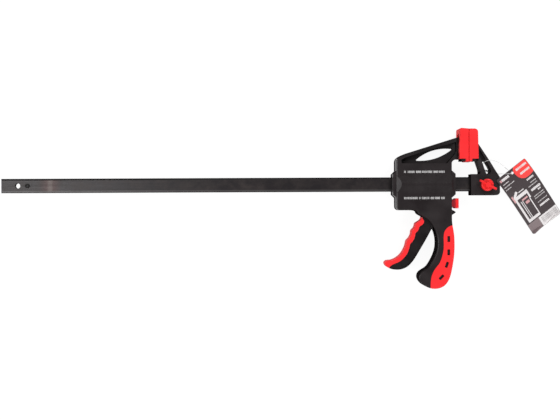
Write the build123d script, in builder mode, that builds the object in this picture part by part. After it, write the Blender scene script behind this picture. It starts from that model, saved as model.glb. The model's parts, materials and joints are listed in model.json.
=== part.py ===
"""One-hand quick release bar clamp, lying on its side, in millimetres.

Sizes are measured from the clamp's own datum: X along the bar from the plane where the two pads
meet, towards the fixed jaw, Y from the bar's axis towards the jaw tips, and Z from the middle of
the bar's thickness towards the front shell. SIDE puts that datum in the model's frame, whose
origin is on the surface that the clamp lies on, under the middle of its box.
"""

import os
from math import asin, cos, degrees, pi, radians, sin, tan

from build123d import *

os.makedirs("parts", exist_ok=True)

# ---- bar ----------------------------------------------------------------------------------------
bar_length = 660.0
bar_height = 19.0
bar_thickness = 5.0
bar_edge = 0.7                  # chamfer along the bar's long edges
screw_x = 24.1                  # wing screw's axis
screw_y = -1.2
screw_from_bar_end = 15.5
bar_hole_radius = 3.5
hole_from_free_end = 21.7
pin_from_free_end = 34.6
pin_radius = 2.9
pin_proud = 1.8                 # how far the stop pin stands out of each side
pin_bore = 1.3

# ---- pistol body --------------------------------------------------------------------------------
body_half = 12.5                # half the thickness across the flat sides
barrel_half = 15.0              # the same at the crown of the spring barrel
barrel_chord = 22.4
barrel_bevel = 6.5              # length of the barrel's sloping ends
body_left = -96.2
body_right = -22.8
body_bottom = -34.3
body_wall = 2.6
edge_round = 2.0
arm_end = -12.3
arm_top = 62.6                  # height of the arm's upper edge where it meets the pad
arm_slope = 17.2                # degrees
shoulder_x = -77.8              # where the sloping upper edge starts
throat_y = 33.4                 # underside of the arm at the pad
throat_low = 27.0               # where the throat's curve meets the straight right side
shoulder_low = 29.5
heel_radius = 5.0
chamber_top = 24.9
web_half = 3.0                  # half the thickness of the arm's web
arm_neck = 5.5                  # length of the thinner end of the arm, next to the pad
flange_reach = 4.3              # how far the collars stand out along the bar
boss_reach = 4.8
collar_half = 11.6
collar_height = 13.6
collar_root = 17.8
ledge_half = 8.0                # half width of the thumb ledge under the button
ledge_top = -31.8
ledge_reach = 5.4
lens_left = (-69.8, 31.6)       # tips of the arm's window
lens_right = (-19.5, 47.1)
slide_clearance = 0.3           # bar to its slots in the shells

# ---- grip inlay ---------------------------------------------------------------------------------
skin = 2.0
skin_backing = 2.0              # shell wall under the inlay
inlay_top = -50.0
inlay_low = -141.0              # below the grip
slot_width = 3.7
slot_length = 7.8
slot_corner = 0.9
grip_slots = ((-27.5, -72.5, 90), (-27.6, -90.0, 90), (-30.1, -106.4, 70), (-37.3, -122.8, 45))

# ---- trigger ------------------------------------------------------------------------------------
pivot_x = -46.7
pivot_y = -30.0
pivot_pin_radius = 2.5
pivot_pin_half = 11.0
pivot_clearance = 0.06
hub_radius = 7.0
lever_half = 8.0
face_half = 8.5                 # the red face stands a little proud of the lever's sides
side_clearance = 0.4
finger_height = 15.7            # from the pivot to the centre of the finger's round tip
finger_radius = 4.0
lever_rim = 1.7                 # raised edge around the hollows in the lever's sides
lever_hollow = 0.9              # depth of those hollows
trigger_turn = 12.0             # degrees, squeezed

# ---- drive plates, brake plate, springs and button ----------------------------------------------
touch_gap = 0.3                 # between pieces that only touch in use
plate_thickness = 2.5
plate_top = 13.8
plate_bottom = -18.5
plate_half = 8.0
plate_clearance = 0.2
drive_wire = 0.7                # wire radius
drive_coil = 10.6               # mean coil radius
drive_pitch = 4.6
barrel_bore = 12.3
brake_x = -34.0
brake_y = 15.5
brake_thickness = 3.0
brake_above = 2.5               # plate above its pivot
brake_below = 45.0              # plate below its pivot, down to where the button pushes
brake_half = 7.5
brake_slot = bar_height + 0.9    # its tilt takes up part of this
brake_play = 0.5                # groove to the brake plate's upper end
button_travel = 3.5
button_y = -25.4
neck_height = 8.4
neck_half = 5.0
cap_height = 13.5
cap_half = 7.5
cap_thickness = 4.3
cap_face = -13.0
cap_low = -17.3                 # the cap's inner face
neck_flare = 3.4                # length over which the neck widens into the cap
window_side = 1.5               # window in the shells, wider than the neck on each side
button_flange = 3.0
button_flange_side = 3.0
spring_y = -17.0
brake_wire = 0.4
brake_coil = 2.6
brake_pitch = 1.7
seat_x = -39.2                  # face of the rib that the brake spring pushes on
rib = 2.0

# ---- shell screws -------------------------------------------------------------------------------
screw_places = ((-87.0, -25.6), (-87.0, 19.8), (-30.0, 21.6), (-30.2, -50.0), (-56.0, -123.0))
boss_radius = 3.6
thread_radius = 1.6
thread_clearance = 0.05
shank_clearance = 0.3
screw_length = 16.0
head_radius = 3.2
head_height = 2.3
head_well = 3.0

# ---- jaw pads -----------------------------------------------------------------------------------
pad_thickness = 12.6
pad_half = 11.65
pad_top = 73.3
pad_bottom = 33.4
pad_lip = 29.8                  # lower edge of the clamping face
pad_gap = 0.5                   # between the two clamping faces
pad_rise = 1.1                  # how much higher the moving pad's outer end is
pad_corners = (4.6, 2.4)        # radius of the outer corner, fixed and moving pad
pad_face = 4.3                  # thickness in front of the jaw's plate
pad_back = 2.7                  # thickness of the lips behind it
pad_fit = 0.15
pad_edge = 1.1
tip_plate_top = 66.0
tip_plate_bottom = 30.5
tip_plate_half = 9.4
tip_plate_thickness = 5.2
neck_half = 5.8

# ---- fixed jaw ----------------------------------------------------------------------------------
jaw_left = 3.2
jaw_right = 41.7
jaw_bottom = -14.8
jaw_top = 13.2
jaw_half = 8.0
jaw_web = 2.5
socket_clearance = 0.15
stud_radius = 3.0
stud_clearance = 0.05
nut_across = 10.0
nut_height = 4.0
knob_radius = 8.0
knob_height = 4.4
knob_gap = 0.3
knob_hub = 4.6
wing_span = 24.8
wing_thickness = 2.6
wing_low = 11.6                 # the wings' lower edge above the bar's mid-plane
wing_high = 17.2
wing_turn = -28.3               # degrees

# ---- tag ----------------------------------------------------------------------------------------
tag_width = 47.6
tag_length = 95.0
tag_thickness = 0.5
tag_corner = (35.9, 4.5, 9.6)
tag_turn = 38.1                 # degrees, the tag's upper edge against the bar
tag_low = 0.5                   # the tag's lower edge above the table
tag_hole = 1.8
tag_hole_place = (22.8, 5.35)   # from the tag's left and upper edges
tag_round = 1.0
loop_radius = 0.35
lock_radius = 1.3
lock_length = 5.0

# ---- outline of the pistol body, in the clamp's own datum ---------------------------------------
slope_run = cos(radians(arm_slope))
slope_rise = sin(radians(arm_slope))
shoulder_y = arm_top - (arm_end - shoulder_x) * tan(radians(arm_slope))
grip_curve = (
    (body_right, -44.0), (-22.2, -53.5), (-20.4, -64.5), (-19.6, -77.0), (-20.3, -95.0),
    (-22.9, -111.5), (-26.9, -125.5), (-33.5, -134.4), (-46.2, -138.2), (-58.0, -134.9),
    (-65.6, -127.6), (-66.8, -121.3), (-63.8, -116.0), (-56.2, -111.0), (-49.0, -101.6),
    (-43.6, -89.5), (-41.9, -76.0), (-44.0, -64.0), (-49.3, -53.1), (-58.0, -44.4),
    (-67.6, -38.4), (-79.0, body_bottom),
)
with BuildSketch() as outline:
    with BuildLine():
        Line((body_right, throat_low), grip_curve[0])
        Spline(*grip_curve, tangents=((0, -1), (-1, 0)))
        Line(grip_curve[-1], (body_left + heel_radius, body_bottom))
        RadiusArc(
            (body_left + heel_radius, body_bottom), (body_left, body_bottom + heel_radius), heel_radius
        )
        Line((body_left, body_bottom + heel_radius), (body_left, shoulder_low))
        Spline(
            (body_left, shoulder_low), (-91.6, 37.0), (shoulder_x, shoulder_y),
            tangents=((0, 1), (slope_run, slope_rise)),
        )
        Line((shoulder_x, shoulder_y), (arm_end, arm_top))
        Line((arm_end, arm_top), (arm_end, throat_y))
        Spline(
            (arm_end, throat_y), (-18.6, 32.1), (body_right, throat_low), tangents=((-1, 0), (0, -1))
        )
    make_face()


def inset(distance):
    """Face inside the outline, its curves drawn again as splines through points."""
    with BuildSketch() as moved:
        add(outline.sketch)
        offset(amount=-distance)
    edges = []
    for edge in moved.face().outer_wire().edges():
        if edge.geom_type == GeomType.OFFSET:
            points = [edge @ (step / 8) for step in range(9)]
            edge = Edge.make_spline(points, tangents=(edge % 0, edge % 1))
        edges.append(edge)
    return Face(Wire(edges))


# ---- datum --------------------------------------------------------------------------------------
bar_end = screw_x + screw_from_bar_end
bar_start = bar_end - bar_length
grip_bottom = outline.sketch.bounding_box().min.Y
SIDE = Plane(origin=(
    -(bar_start + jaw_right) / 2, -(grip_bottom + pad_top + pad_rise) / 2, barrel_half
))


def across(x):
    """Plane square to the bar at x: its own x is Y and its own y is Z."""
    return Plane(origin=SIDE.from_local_coords(Vector(x, 0, 0)), x_dir=(0, 1, 0), z_dir=(1, 0, 0))


def level(y):
    """Plane square to Y at y: its own x is X and its own y is Z."""
    return Plane(origin=SIDE.from_local_coords(Vector(0, y, 0)), x_dir=(1, 0, 0), z_dir=(0, -1, 0))


# ---- bar and stop pin ---------------------------------------------------------------------------
hole_x = bar_start + hole_from_free_end
pin_x = bar_start + pin_from_free_end
with BuildPart() as bar:
    with BuildSketch(across(bar_start)):
        Rectangle(bar_height, bar_thickness)
        chamfer(vertices(), bar_edge)
    extrude(amount=bar_length)
    with BuildSketch(SIDE):
        with Locations((screw_x, screw_y), (hole_x, 0)):
            Circle(bar_hole_radius)
        with Locations((pin_x, 0)):
            Circle(pin_radius)
    extrude(amount=bar_thickness, both=True, mode=Mode.SUBTRACT)
bar.part.label = "bar"
export_step(bar.part, "parts/bar.step")

with BuildPart() as stop_pin:
    with BuildSketch(SIDE):
        with Locations((pin_x, 0)):
            Circle(pin_radius)
            Circle(pin_bore, mode=Mode.SUBTRACT)
    extrude(amount=bar_thickness / 2 + pin_proud, both=True)
stop_pin.part.label = "stop_pin"
export_step(stop_pin.part, "parts/stop_pin.step")

# ---- one half of the pistol body, outside form --------------------------------------------------
barrel_rise = barrel_half - body_half
barrel_radius = barrel_chord**2 / 8 / barrel_rise + barrel_rise / 2
barrel_right = body_right + 2.0
with BuildPart() as barrel_form:
    with BuildSketch(across(body_left)):
        with Locations((0, barrel_half - barrel_radius)):
            Circle(barrel_radius)
    extrude(amount=barrel_right - body_left)
    with BuildSketch(level(0)):
        Polygon(
            (body_left, body_half), (body_left + barrel_bevel, barrel_half + 0.01),
            (barrel_right - barrel_bevel / 2, barrel_half + 0.01), (barrel_right, body_half),
            (barrel_right, 0), (body_left, 0), align=None,
        )
    extrude(amount=barrel_chord / 2, both=True, mode=Mode.INTERSECT)

with BuildPart() as half_form:
    with BuildSketch(SIDE):
        add(outline.sketch)
    extrude(amount=body_half)
    upper = half_form.faces().sort_by(Axis.Z)[-1].outer_wire().edges()
    tip_x = SIDE.from_local_coords(Vector(arm_end, 0, 0)).X
    fillet([edge for edge in upper if abs(edge.center().X - tip_x) > 0.01], edge_round)
    # collars where the bar comes out on either side
    with BuildSketch(SIDE):
        Polygon(
            (body_left + 1, -collar_root), (body_left + 1, collar_root), (body_left, collar_root),
            (body_left - flange_reach, collar_height), (body_left - flange_reach, -collar_height),
            (body_left, -collar_root), align=None,
        )
        Polygon(
            (body_right - 1, -collar_root), (body_right, -collar_root),
            (body_right + boss_reach, -collar_height), (body_right + boss_reach, collar_height),
            (body_right, collar_root), (body_right - 1, collar_root), align=None,
        )
    extrude(amount=collar_half)
    # thumb ledge below the release button
    with BuildSketch(SIDE):
        with BuildLine():
            Spline(
                (body_right - 1, ledge_top), (body_right + 1.2, ledge_top - 2.3),
                (body_right + ledge_reach, ledge_top - 5.4), (body_right + 1.6, ledge_top - 8.4),
                (body_right - 1, ledge_top - 11.5),
            )
            Line((body_right - 1, ledge_top - 11.5), (body_right - 1, ledge_top))
        make_face()
    extrude(amount=ledge_half)
    add(barrel_form.part)
    # the arm's end is thinner next to the pad
    with BuildSketch(SIDE.offset(neck_half)):
        with Locations((arm_end, throat_y)):
            Rectangle(
                2 * arm_neck, 2 * (arm_top - throat_y), align=(Align.CENTER, Align.CENTER)
            )
    extrude(amount=body_half, mode=Mode.SUBTRACT)
    # recess of the arm, down to its web, and the lens-shaped window through the web
    with BuildSketch(SIDE.offset(web_half)):
        Polygon(
            (-89.5, 27.5), (-29.2, 27.5), (-15.6, 43.6), (-15.6, 56.3), (-84.3, 35.3), (-89.5, 32.3),
            align=None,
        )
        fillet(vertices(), 1.6)
    extrude(amount=body_half, mode=Mode.SUBTRACT)
    with BuildSketch(SIDE):
        with BuildLine():
            ThreePointArc(lens_left, (-44.5, 34.0), lens_right)
            ThreePointArc(lens_right, (-46.2, 44.9), lens_left)
        make_face()
        fillet(vertices(), 0.8)
    extrude(amount=body_half, mode=Mode.SUBTRACT)

# the plate that carries the pad, and the part of the neck inside the pad
with BuildPart() as half_tip:
    with BuildSketch(SIDE):
        with Locations((-pad_face - pad_fit, tip_plate_bottom)):
            Rectangle(
                tip_plate_thickness, tip_plate_top - tip_plate_bottom, align=(Align.MAX, Align.MIN)
            )
    extrude(amount=tip_plate_half)
    with BuildSketch(SIDE):
        with Locations((arm_end - 1, throat_y)):
            Rectangle(
                pad_thickness - pad_face, arm_top - throat_y, align=(Align.MIN, Align.MIN)
            )
    extrude(amount=neck_half)

# ---- what the red inlay of the grip takes from the half -----------------------------------------
with BuildSketch() as inlay_zone:
    with BuildLine():
        Spline(
            (-16.0, -52.6), (-23.1, -54.4), (-28.4, -56.9), (-33.0, -62.5), (-34.3, -70.0),
            (-34.4, -85.6), (-36.3, -94.8), (-40.2, -104.7), (-46.2, -112.6), (-49.7, -119.8),
            (-51.5, -129.0), (-51.4, inlay_low),
        )
        Polyline((-51.4, inlay_low), (-10.0, inlay_low), (-10.0, -52.6), (-16.0, -52.6))
    make_face()
grip_core = inset(skin)
with BuildPart() as inlay_room:
    with BuildSketch(SIDE):
        add(inlay_zone.sketch)
    extrude(amount=barrel_half)
    with BuildSketch(SIDE):
        add(grip_core)
    extrude(amount=body_half - skin, mode=Mode.SUBTRACT)

# ---- hollow of one half -------------------------------------------------------------------------
with BuildSketch() as chamber:
    add(inset(body_wall))
    with Locations((body_left, chamber_top)):
        Rectangle(-body_left, pad_top, align=(Align.MIN, Align.MIN), mode=Mode.SUBTRACT)
    with Locations((body_left, inlay_top)):
        Rectangle(-body_left, -inlay_low, align=(Align.MIN, Align.MAX), mode=Mode.SUBTRACT)
with BuildSketch() as grip_hollow:
    add(inset(skin + skin_backing))
    with Locations((body_left, inlay_top + 1.0)):
        Rectangle(-body_left, -inlay_low, align=(Align.MIN, Align.MIN), mode=Mode.SUBTRACT)
slot_height = bar_height + 2 * slide_clearance
slot_depth = bar_thickness / 2 + slide_clearance
chamber_left = body_left + body_wall
chamber_right = body_right - body_wall
with BuildPart() as hollow:
    with BuildSketch(SIDE):
        add(chamber.sketch)
    extrude(amount=body_half - body_wall)
    with BuildSketch(SIDE):
        add(grip_hollow.sketch)
    extrude(amount=body_half - skin - skin_backing)
    # round bore of the spring barrel
    with BuildSketch(across(chamber_left)):
        Circle(barrel_bore)
    extrude(amount=chamber_right - chamber_left)
    # the bar's way through both collars
    with BuildSketch(across(body_left - flange_reach - 1)):
        Rectangle(slot_height, 2 * slot_depth)
    extrude(amount=body_right + boss_reach - body_left + flange_reach + 2)
    # opening for the trigger
    with BuildSketch(SIDE):
        Polygon(
            (-68.0, -32.0), (-37.0, -32.0), (-35.0, -46.0), (-35.5, -60.0), (-36.5, -86.0),
            (-46.0, -92.0), (-70.0, -60.0), (-70.0, -40.0), align=None,
        )
    extrude(amount=face_half + side_clearance)
    # window for the button's neck
    with BuildSketch(across(chamber_right - 1)):
        with Locations((button_y, 0)):
            Rectangle(neck_height + 2 * window_side, 2 * neck_half + 2 * window_side)
    extrude(amount=body_wall + 2)
    split(bisect_by=SIDE, keep=Keep.TOP)

# ---- ribs, bosses and seats inside a half -------------------------------------------------------
brake_tilt = degrees(asin(button_travel / brake_below))
groove_left = brake_x - brake_thickness / 2 - brake_play
groove_right = brake_x + brake_thickness / 2 + brake_play
boss_top = body_half - body_wall + 0.5
with BuildPart() as fittings:
    with BuildSketch(SIDE.offset(lever_half + side_clearance)):
        with Locations((pivot_x, pivot_y)):
            Circle(pivot_pin_radius + 3.0)
    extrude(amount=body_half - lever_half - side_clearance - 1.0)
    with BuildSketch(SIDE):
        with Locations(*screw_places):
            Circle(boss_radius)
    extrude(amount=boss_top)
    # rib behind the brake spring, and the two ribs that hold the brake plate's upper end
    with BuildSketch(SIDE):
        with Locations((seat_x, spring_y)):
            Rectangle(rib, 4 * brake_coil, align=(Align.MAX, Align.CENTER))
        with Locations((groove_left, chamber_top + 1)):
            Rectangle(rib, chamber_top + 1 - brake_y + rib, align=(Align.MAX, Align.MAX))
        with Locations((groove_right, chamber_top + 1)):
            Rectangle(rib, chamber_top + 1 - brake_y + rib, align=(Align.MIN, Align.MAX))
    extrude(amount=boss_top)

with BuildPart() as half_shell:
    add(half_form.part)
    add(half_tip.part)
    add(inlay_room.part, mode=Mode.SUBTRACT)
    add(hollow.part, mode=Mode.SUBTRACT)
    add(fittings.part)
    with BuildSketch(SIDE):
        with Locations((pivot_x, pivot_y)):
            Circle(pivot_pin_radius)
    extrude(amount=pivot_pin_half, mode=Mode.SUBTRACT)

with BuildPart() as shell_front:
    add(half_shell.part)
    with BuildSketch(SIDE):
        with Locations(*screw_places):
            Circle(thread_radius + thread_clearance)
    extrude(amount=screw_length - body_half + head_well + 1, mode=Mode.SUBTRACT)
shell_front.part.label = "shell_front"
export_step(shell_front.part, "parts/shell_front.step")

with BuildPart() as shell_back:
    add(half_shell.part)
    mirror(about=SIDE, mode=Mode.REPLACE)
    with BuildSketch(SIDE):
        with Locations(*screw_places):
            Circle(thread_radius + shank_clearance)
    extrude(amount=-body_half, mode=Mode.SUBTRACT)
    with BuildSketch(SIDE.offset(-body_half)):
        with Locations(*screw_places):
            Circle(head_radius + shank_clearance)
    extrude(amount=head_well, mode=Mode.SUBTRACT)
shell_back.part.label = "shell_back"
export_step(shell_back.part, "parts/shell_back.step")

with BuildPart() as shell_screws:
    with BuildSketch(SIDE.offset(head_well - body_half)):
        with Locations(*screw_places):
            Circle(thread_radius)
    extrude(amount=screw_length)
    with BuildSketch(SIDE.offset(head_well - body_half)):
        with Locations(*screw_places):
            Circle(head_radius)
    extrude(amount=-head_height)
    with BuildSketch(SIDE.offset(head_well - body_half - head_height)):
        with Locations(*screw_places):
            Rectangle(3.6, 0.8)
            Rectangle(0.8, 3.6)
    extrude(amount=head_height / 2, mode=Mode.SUBTRACT)
shell_screws.part.label = "shell_screws"
export_step(shell_screws.part, "parts/shell_screws.step")

# ---- red inlays of the grip ---------------------------------------------------------------------
with BuildPart() as grip_inlay_front:
    add(half_form.part)
    add(inlay_room.part, mode=Mode.INTERSECT)
    for place_x, place_y, turn in grip_slots:
        with BuildSketch(SIDE.offset(body_half - skin)):
            with Locations(Location((place_x, place_y), turn)):
                RectangleRounded(slot_length, slot_width, slot_corner)
        extrude(amount=2 * skin, mode=Mode.SUBTRACT)
grip_inlay_front.part.label = "grip_inlay_front"
export_step(grip_inlay_front.part, "parts/grip_inlay_front.step")

with BuildPart() as grip_inlay_back:
    add(grip_inlay_front.part)
    mirror(about=SIDE, mode=Mode.REPLACE)
grip_inlay_back.part.label = "grip_inlay_back"
export_step(grip_inlay_back.part, "parts/grip_inlay_back.step")

# ---- trigger ------------------------------------------------------------------------------------
face_curve = (
    (-61.7, -43.9), (-63.1, -46.8), (-66.6, -49.4), (-70.0, -52.1), (-70.7, -55.4),
    (-72.2, -58.0), (-75.1, -61.4), (-75.5, -64.7), (-76.9, -68.7), (-78.7, -71.4),
    (-81.6, -74.7), (-82.5, -78.0), (-83.5, -82.0), (-85.4, -86.0), (-87.6, -90.0),
    (-90.7, -93.7), (-94.8, -97.0), (-98.9, -99.2), (-103.1, -100.5), (-108.6, -101.2),
    (-111.3, -103.7), (-110.2, -107.5), (-108.2, -109.4), (-105.8, -110.8),
)
seam_curve = (
    (-105.8, -110.8), (-102.2, -106.9), (-96.8, -104.4), (-91.4, -101.9), (-87.3, -98.6),
    (-84.0, -94.9), (-81.4, -90.9), (-79.8, -86.9), (-78.6, -83.0), (-77.7, -79.0),
    (-75.2, -76.4), (-72.7, -72.4), (-71.4, -68.5), (-70.4, -64.5), (-68.3, -62.5),
    (-66.6, -59.9), (-65.5, -56.6), (-62.1, -53.9), (-59.8, -51.3), (-59.6, -48.2),
    (-61.7, -43.9),
)
lever_back = (
    (-105.8, -110.8), (-101.5, -112.3), (-97.2, -112.9), (-93.0, -112.9), (-88.8, -112.2),
    (-84.2, -110.5), (-80.4, -108.1), (-77.1, -105.0), (-73.8, -101.0), (-67.1, -90.5),
    (-59.1, -77.0), (-51.8, -63.9), (-49.4, -59.4),
)


def beside(points, distance):
    """Points to the left of the curve through the given points."""
    curve = Edge.make_spline([Vector(*point) for point in points])
    moved = []
    for point in points:
        way = curve.tangent_at(curve.param_at_point(Vector(*point)))
        moved.append((point[0] - way.Y * distance, point[1] + way.X * distance))
    return moved


with BuildPart() as trigger_face:
    with BuildSketch(SIDE):
        with BuildLine():
            Spline(*face_curve)
            Spline(*seam_curve[:-1])
            Line(seam_curve[-2], seam_curve[-1])
        make_face()
    extrude(amount=face_half, both=True)
trigger_face.part.label = "trigger_face"
export_step(trigger_face.part, "parts/trigger_face.step")

with BuildPart() as trigger_lever:
    with BuildSketch(SIDE):
        with BuildLine():
            Spline(*seam_curve[:-1])
            Line(seam_curve[-2], seam_curve[-1])
            Polyline(seam_curve[-1], (-61.0, -41.0), (-55.0, -33.5), (pivot_x, pivot_y))
            Polyline((pivot_x, pivot_y), (pivot_x + hub_radius - 1, pivot_y - 3.0), (-42.0, -50.0))
            Line((-42.0, -50.0), lever_back[-1])
            Spline(*lever_back)
        make_face()
    extrude(amount=lever_half, both=True)
    # shallow hollows in both sides, with a raised edge at the front and the back
    for side in (1, -1):
        with BuildSketch(SIDE.offset(side * (lever_half - lever_hollow))):
            with BuildLine():
                front_rim = Spline(*beside(seam_curve[3:-2], -lever_rim / 2))
                back_rim = Spline(*beside(lever_back, lever_rim)[4:])
                Line(front_rim @ 0, back_rim @ 0)
                Polyline(front_rim @ 1, (-56.0, -46.0), (-47.5, -50.5), back_rim @ 1)
            make_face()
        extrude(amount=side * lever_half, mode=Mode.SUBTRACT)
    with BuildSketch(SIDE):
        with Locations((pivot_x, pivot_y)):
            Circle(hub_radius)
            Rectangle(2 * finger_radius, finger_height, align=(Align.CENTER, Align.MIN))
        with Locations((pivot_x, pivot_y + finger_height)):
            Circle(finger_radius)
    extrude(amount=lever_half, both=True)
    with BuildSketch(SIDE):
        with Locations((pivot_x, pivot_y)):
            Circle(pivot_pin_radius + pivot_clearance)
    extrude(amount=lever_half + 1, both=True, mode=Mode.SUBTRACT)
trigger_lever.part.label = "trigger_lever"
export_step(trigger_lever.part, "parts/trigger_lever.step")

with BuildPart() as trigger_pin:
    with BuildSketch(SIDE):
        with Locations((pivot_x, pivot_y)):
            Circle(pivot_pin_radius)
    extrude(amount=pivot_pin_half, both=True)
trigger_pin.part.label = "trigger_pin"
export_step(trigger_pin.part, "parts/trigger_pin.step")

# ---- drive plates and their spring --------------------------------------------------------------
finger_left = pivot_x - finger_radius
plates_right = finger_left - touch_gap
plates_left = plates_right - 2 * plate_thickness
with BuildPart() as drive_plate_right:
    with BuildSketch(across(plates_right - plate_thickness)):
        with Locations(((plate_top + plate_bottom) / 2, 0)):
            RectangleRounded(plate_top - plate_bottom, 2 * plate_half, 1.5)
        Rectangle(
            bar_height + 2 * plate_clearance, bar_thickness + 2 * plate_clearance,
            mode=Mode.SUBTRACT,
        )
    extrude(amount=plate_thickness)
drive_plate_right.part.label = "drive_plate_right"
export_step(drive_plate_right.part, "parts/drive_plate_right.step")

with BuildPart() as drive_plate_left:
    add(drive_plate_right.part.moved(Location((-plate_thickness, 0, 0))))
drive_plate_left.part.label = "drive_plate_left"
export_step(drive_plate_left.part, "parts/drive_plate_left.step")

drive_start = chamber_left + drive_wire + 0.05
drive_height = plates_left - drive_wire - touch_gap - drive_start
with BuildPart() as drive_spring:
    with BuildLine():
        drive_turns = Helix(
            drive_pitch, drive_height, drive_coil, direction=(1, 0, 0),
            center=SIDE.from_local_coords(Vector(drive_start, 0, 0)),
        )
    with BuildSketch(Plane(origin=drive_turns @ 0, z_dir=drive_turns % 0)):
        Circle(drive_wire)
    sweep(path=drive_turns, is_frenet=True)
drive_spring.part.label = "drive_spring"
export_step(drive_spring.part, "parts/drive_spring.step")

# ---- brake plate and its spring -----------------------------------------------------------------
lean = radians(brake_tilt)
BRAKE = Plane(
    origin=SIDE.from_local_coords(Vector(brake_x, brake_y, 0)),
    x_dir=(-sin(lean), cos(lean), 0), z_dir=(cos(lean), sin(lean), 0),
)
with BuildPart() as brake_plate:
    with BuildSketch(BRAKE.offset(-brake_thickness / 2)):
        with Locations(((brake_above - brake_below) / 2, 0)):
            RectangleRounded(brake_above + brake_below, 2 * brake_half, 1.5)
        with Locations((-brake_y / cos(lean), 0)):
            Rectangle(brake_slot, bar_thickness + 2 * slide_clearance, mode=Mode.SUBTRACT)
    extrude(amount=brake_thickness)
brake_plate.part.label = "brake_plate"
export_step(brake_plate.part, "parts/brake_plate.step")

brake_face_x = brake_x + (brake_y - spring_y) * tan(lean) - brake_thickness / 2 / cos(lean)
brake_start = seat_x + brake_wire + 0.05
brake_height = brake_face_x - brake_wire - touch_gap - brake_start
with BuildPart() as brake_spring:
    with BuildLine():
        brake_turns = Helix(
            brake_pitch, brake_height, brake_coil, direction=(1, 0, 0),
            center=SIDE.from_local_coords(Vector(brake_start, spring_y, 0)),
        )
    with BuildSketch(Plane(origin=brake_turns @ 0, z_dir=brake_turns % 0)):
        Circle(brake_wire)
    sweep(path=brake_turns, is_frenet=True)
brake_spring.part.label = "brake_spring"
export_step(brake_spring.part, "parts/brake_spring.step")

# ---- release button -----------------------------------------------------------------------------
flange_right = chamber_right - touch_gap
with BuildPart() as release_button:
    with BuildSketch(across(cap_low)):
        with Locations((button_y, 0)):
            RectangleRounded(cap_height, 2 * cap_half, 1.5)
    extrude(amount=cap_face - cap_low)
    fillet(release_button.faces().sort_by(Axis.X)[-1].edges(), 0.8)
    with BuildSketch(across(flange_right - button_flange)):
        with Locations((button_y, 0)):
            Rectangle(neck_height + 2 * button_flange_side, 2 * (neck_half + button_flange_side))
    extrude(amount=button_flange)
    with BuildSketch(across(flange_right)):
        with Locations((button_y, 0)):
            Rectangle(neck_height, 2 * neck_half)
    extrude(amount=cap_low - flange_right)
    with BuildSketch(across(cap_low - neck_flare)):
        with Locations((button_y, 0)):
            Rectangle(neck_height, 2 * neck_half)
    with BuildSketch(across(cap_low)):
        with Locations((button_y, 0)):
            Rectangle(cap_height - 0.6, 2 * cap_half - 0.6)
    loft()
release_button.part.label = "release_button"
export_step(release_button.part, "parts/release_button.step")

# ---- jaw pads -----------------------------------------------------------------------------------
def jaw_pad(top, crown, corner):
    """Soft cap to the right of the datum: its upper edge runs from top to crown, then round."""
    with BuildPart() as pad:
        with BuildSketch(SIDE):
            Polygon(
                (pad_gap / 2, top), (pad_gap / 2, pad_lip), (pad_face, pad_lip),
                (pad_face, pad_bottom), (pad_thickness + 0.2, pad_bottom),
                (pad_thickness - 0.6, crown), align=None,
            )
            fillet(vertices().sort_by(Axis.Y)[-2:].sort_by(Axis.X)[-1], corner)
        extrude(amount=pad_half, both=True)
        rims = pad.faces().sort_by(Axis.Z)
        fillet(rims[0].edges() + rims[-1].edges(), pad_edge)
        with BuildSketch(SIDE):
            with Locations((pad_face, pad_bottom - 2)):
                Rectangle(
                    pad_thickness - pad_back - pad_face,
                    tip_plate_top + pad_fit - pad_bottom + 2, align=(Align.MIN, Align.MIN),
                )
        extrude(amount=tip_plate_half + pad_fit, both=True, mode=Mode.SUBTRACT)
        with BuildSketch(SIDE):
            with Locations((pad_face, pad_bottom - 2)):
                Rectangle(
                    pad_thickness, tip_plate_top + pad_fit - pad_bottom + 2,
                    align=(Align.MIN, Align.MIN),
                )
        extrude(amount=neck_half + pad_fit, both=True, mode=Mode.SUBTRACT)
    return pad.part


fixed_jaw_pad = jaw_pad(pad_top, pad_top, pad_corners[0])
fixed_jaw_pad.label = "fixed_jaw_pad"
export_step(fixed_jaw_pad, "parts/fixed_jaw_pad.step")

with BuildPart() as moving_jaw_pad:
    add(jaw_pad(pad_top, pad_top + pad_rise, pad_corners[1]))
    mirror(about=across(0), mode=Mode.REPLACE)
moving_jaw_pad.part.label = "moving_jaw_pad"
export_step(moving_jaw_pad.part, "parts/moving_jaw_pad.step")

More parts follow.
